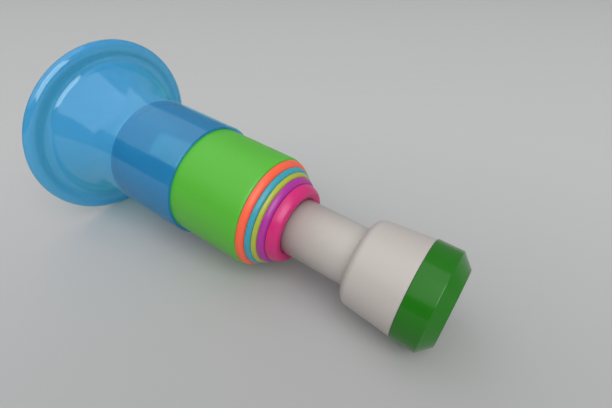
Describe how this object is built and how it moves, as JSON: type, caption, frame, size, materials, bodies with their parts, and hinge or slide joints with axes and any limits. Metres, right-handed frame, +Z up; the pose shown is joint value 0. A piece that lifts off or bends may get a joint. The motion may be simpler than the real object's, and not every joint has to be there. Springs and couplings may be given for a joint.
{
  "type": "toy trumpet",
  "caption": "Pull-out toy trumpet: a flared bell and nested sliding tubes on a mouthpiece with an inner reed, pushed together and lying on its side.",
  "frame": {"origin": "on the floor under the middle of the trumpet, pushed together and lying on its side, at the bottom centre of its bounding box", "axes": "+X from the bell towards the mouthpiece, level with the floor; +Z up; the trumpet's own axis drops 7.8 degrees from the bell to the mouthpiece"},
  "size_m": [0.1962, 0.092, 0.0912],
  "materials": {
    "bell_blue": "glossy, slightly see-through moulded plastic",
    "green": "satin moulded plastic",
    "orange": "satin moulded plastic",
    "cyan": "satin moulded plastic",
    "lime": "satin moulded plastic",
    "purple": "satin moulded plastic",
    "pink": "satin moulded plastic",
    "white": "satin moulded plastic",
    "cap_green": "glossy moulded plastic",
    "reed_white": "plain moulded plastic",
    "reed_strip": "thin sprung strip",
    "ring_dark": "plain"
  },
  "bodies": {
    "mouth_end": {"pink_section": "pink", "mouthpiece": "white", "end_cap": "cap_green", "reed_body": "reed_white", "reed_tongue": "reed_strip", "reed_ring": "ring_dark"},
    "purple_tube": {"purple_section": "purple"},
    "lime_tube": {"lime_section": "lime"},
    "cyan_tube": {"cyan_section": "cyan"},
    "orange_tube": {"orange_section": "orange"},
    "green_tube": {"green_section": "green"},
    "bell_end": {"bell": "bell_blue"}
  },
  "joints": [
    {"name": "pink_slide", "type": "slide", "parent": "mouth_end", "child": "purple_tube", "axis": [-0.9906, 0, 0.1369], "range_m": [0, 0.0791]},
    {"name": "purple_slide", "type": "slide", "parent": "purple_tube", "child": "lime_tube", "axis": [-0.9906, 0, 0.1369], "range_m": [0, 0.0765]},
    {"name": "lime_slide", "type": "slide", "parent": "lime_tube", "child": "cyan_tube", "axis": [-0.9906, 0, 0.1369], "range_m": [0, 0.0747]},
    {"name": "cyan_slide", "type": "slide", "parent": "cyan_tube", "child": "orange_tube", "axis": [-0.9906, 0, 0.1369], "range_m": [0, 0.0725]},
    {"name": "orange_slide", "type": "slide", "parent": "orange_tube", "child": "green_tube", "axis": [-0.9906, 0, 0.1369], "range_m": [0, 0.0695]},
    {"name": "green_slide", "type": "slide", "parent": "green_tube", "child": "bell_end", "axis": [-0.9906, 0, 0.1369], "range_m": [0, 0.03395]}
  ]
}
